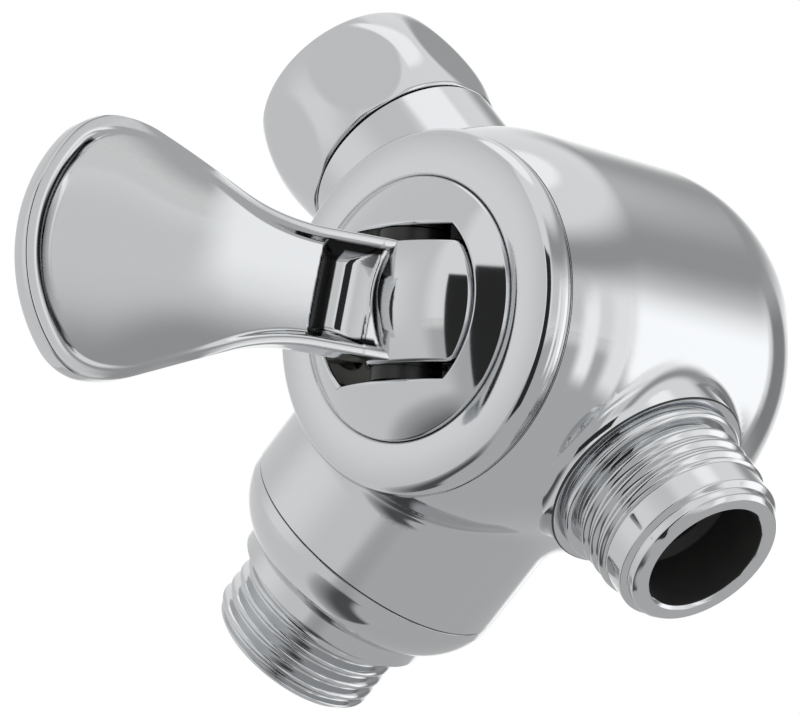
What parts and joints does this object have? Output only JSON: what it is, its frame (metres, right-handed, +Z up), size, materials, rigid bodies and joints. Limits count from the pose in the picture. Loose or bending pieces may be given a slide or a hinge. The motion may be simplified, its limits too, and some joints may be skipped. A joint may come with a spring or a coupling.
{
  "type": "shower diverter valve",
  "caption": "Chromed shower arm diverter with a swivel inlet nut, shower and hose outlets at right angles, and a paddle lever that slides a ceramic disc over the ports.",
  "frame": {"origin": "Centre of the outer end of the inlet nut's thread, where the shower arm screws in", "axes": "Plus Z is up, minus Y is the side with the lever, and plus X is to the right when facing the lever"},
  "size_m": [0.0737, 0.0982, 0.0823],
  "materials": {
    "polished_chrome": "bright chromium plate on brass",
    "turned_brass": "turned, unplated",
    "stainless_steel": "ground",
    "nitrile_rubber": "moulded",
    "alumina_ceramic": "lapped",
    "black_acetal": "moulded"
  },
  "bodies": {
    "valve": {"valve_body": "polished_chrome", "bonnet_ring": "polished_chrome", "bonnet_seal": "nitrile_rubber", "domed_cover": "polished_chrome", "port_gasket": "nitrile_rubber", "port_disc": "alumina_ceramic", "locating_pins": "stainless_steel", "slide_guide": "black_acetal", "pivot_pin": "stainless_steel", "upper_hub_washer": "black_acetal", "lower_hub_washer": "black_acetal", "shower_outlet_nipple": "polished_chrome", "shower_nipple_seal": "nitrile_rubber", "hose_outlet_nipple": "polished_chrome", "hose_nipple_seal": "nitrile_rubber", "inlet_tailpiece": "turned_brass", "tailpiece_seal": "nitrile_rubber", "inlet_washer": "nitrile_rubber", "filter_screen": "stainless_steel"},
    "lever": {"lever_handle": "polished_chrome", "drive_stem": "stainless_steel"},
    "slide": {"slide_disc": "alumina_ceramic", "slide_carrier": "black_acetal"},
    "nut": {"swivel_nut": "polished_chrome"}
  },
  "joints": [
    {"name": "lever_rock", "type": "hinge", "parent": "valve", "child": "lever", "pos_m": [0.03246, -0.0225, -0.03246], "axis": [0, 0, 1], "range_deg": [0, 40]},
    {"name": "port_slide", "type": "slide", "parent": "valve", "child": "slide", "axis": [-1, 0, 0], "range_m": [0, 0.00547]},
    {"name": "nut_swivel", "type": "hinge", "parent": "valve", "child": "nut", "pos_m": [0, 0, 0], "axis": [-0.7071, 0, 0.7071], "continuous": true}
  ],
  "couplings": [
    {"joint": "port_slide", "follows": "lever_rock", "m_per_rad": 0.0078385}
  ]
}
